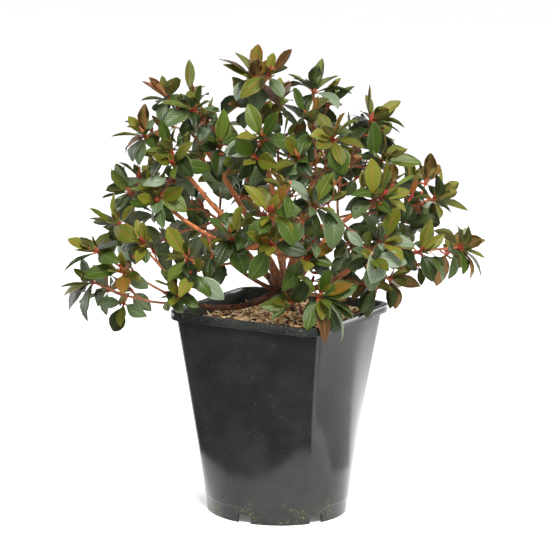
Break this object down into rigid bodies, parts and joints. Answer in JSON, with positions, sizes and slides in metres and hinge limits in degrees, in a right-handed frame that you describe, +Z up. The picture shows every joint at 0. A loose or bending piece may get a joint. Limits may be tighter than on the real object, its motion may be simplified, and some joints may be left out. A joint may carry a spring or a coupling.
{
  "type": "potted azalea shrub",
  "caption": "Small evergreen azalea shrub with spreading boughs and whorls of leathery leaves, growing in a black nursery pot that is square at the rim and round at the foot.",
  "frame": {"origin": "centre of the pot's flat underside, on the ground", "axes": "+Z up along the pot's axis; the pot's four sides face -Y, +X, +Y and -X"},
  "size_m": [0.3777, 0.3345, 0.4504],
  "materials": {
    "pot": "satin black moulded plastic",
    "soil": "compost topped with straw-coloured bark chips",
    "bark": "orange-brown young bark",
    "leaf_green": "deep green leathery leaf",
    "leaf_grey_green": "grey-green leathery leaf",
    "leaf_olive": "olive young leaf",
    "leaf_bronze": "bronze leaf"
  },
  "bodies": {
    "root": {"pot": "pot", "soil": "soil", "trunk": "bark", "bough_low_left": "bark", "bough_left": "bark", "bough_left_low": "bark", "bough_front": "bark", "bough_right": "bark", "bough_low_right": "bark", "bough_back_left": "bark", "bough_back": "bark", "bough_back_right": "bark", "bough_left_high": "bark", "bough_left_mid": "bark", "bough_left_out": "bark", "bough_top": "bark", "bough_centre_high": "bark", "bough_right_high": "bark", "bough_right_mid": "bark", "leaves_left_crest": "leaf_olive", "leaves_left_crown": "leaf_green", "leaves_left_inner": "leaf_green", "leaves_left_upper": "leaf_olive", "leaves_left_face": "leaf_green", "leaves_left_edge": "leaf_grey_green", "leaves_left_mid": "leaf_green", "leaves_left_lower": "leaf_olive", "leaves_left_wing": "leaf_olive", "leaves_left_hanging": "leaf_grey_green", "leaves_left_rim": "leaf_green", "leaves_left_hollow": "leaf_green", "leaves_front_left": "leaf_green", "leaves_front": "leaf_olive", "leaves_front_right": "leaf_grey_green", "leaves_front_low": "leaf_green", "leaves_rim_front": "leaf_green", "leaves_top": "leaf_bronze", "leaves_top_front": "leaf_green", "leaves_top_right": "leaf_green", "leaves_high_front": "leaf_green", "leaves_high_right": "leaf_olive", "leaves_right_crest": "leaf_olive", "leaves_right_upper": "leaf_green", "leaves_right_face": "leaf_green", "leaves_right_edge": "leaf_olive", "leaves_right_lower": "leaf_grey_green", "leaves_right_wing": "leaf_olive", "leaves_right_hanging": "leaf_bronze", "leaves_back_left": "leaf_green", "leaves_back_left_low": "leaf_grey_green", "leaves_back_left_high": "leaf_olive", "leaves_back_low": "leaf_green", "leaves_back_mid": "leaf_green", "leaves_back_high": "leaf_olive", "leaves_back_face": "leaf_green", "leaves_back_lower": "leaf_grey_green", "leaves_back_right_high": "leaf_green", "leaves_back_right": "leaf_green", "leaves_back_right_low": "leaf_green"}
  },
  "joints": []
}
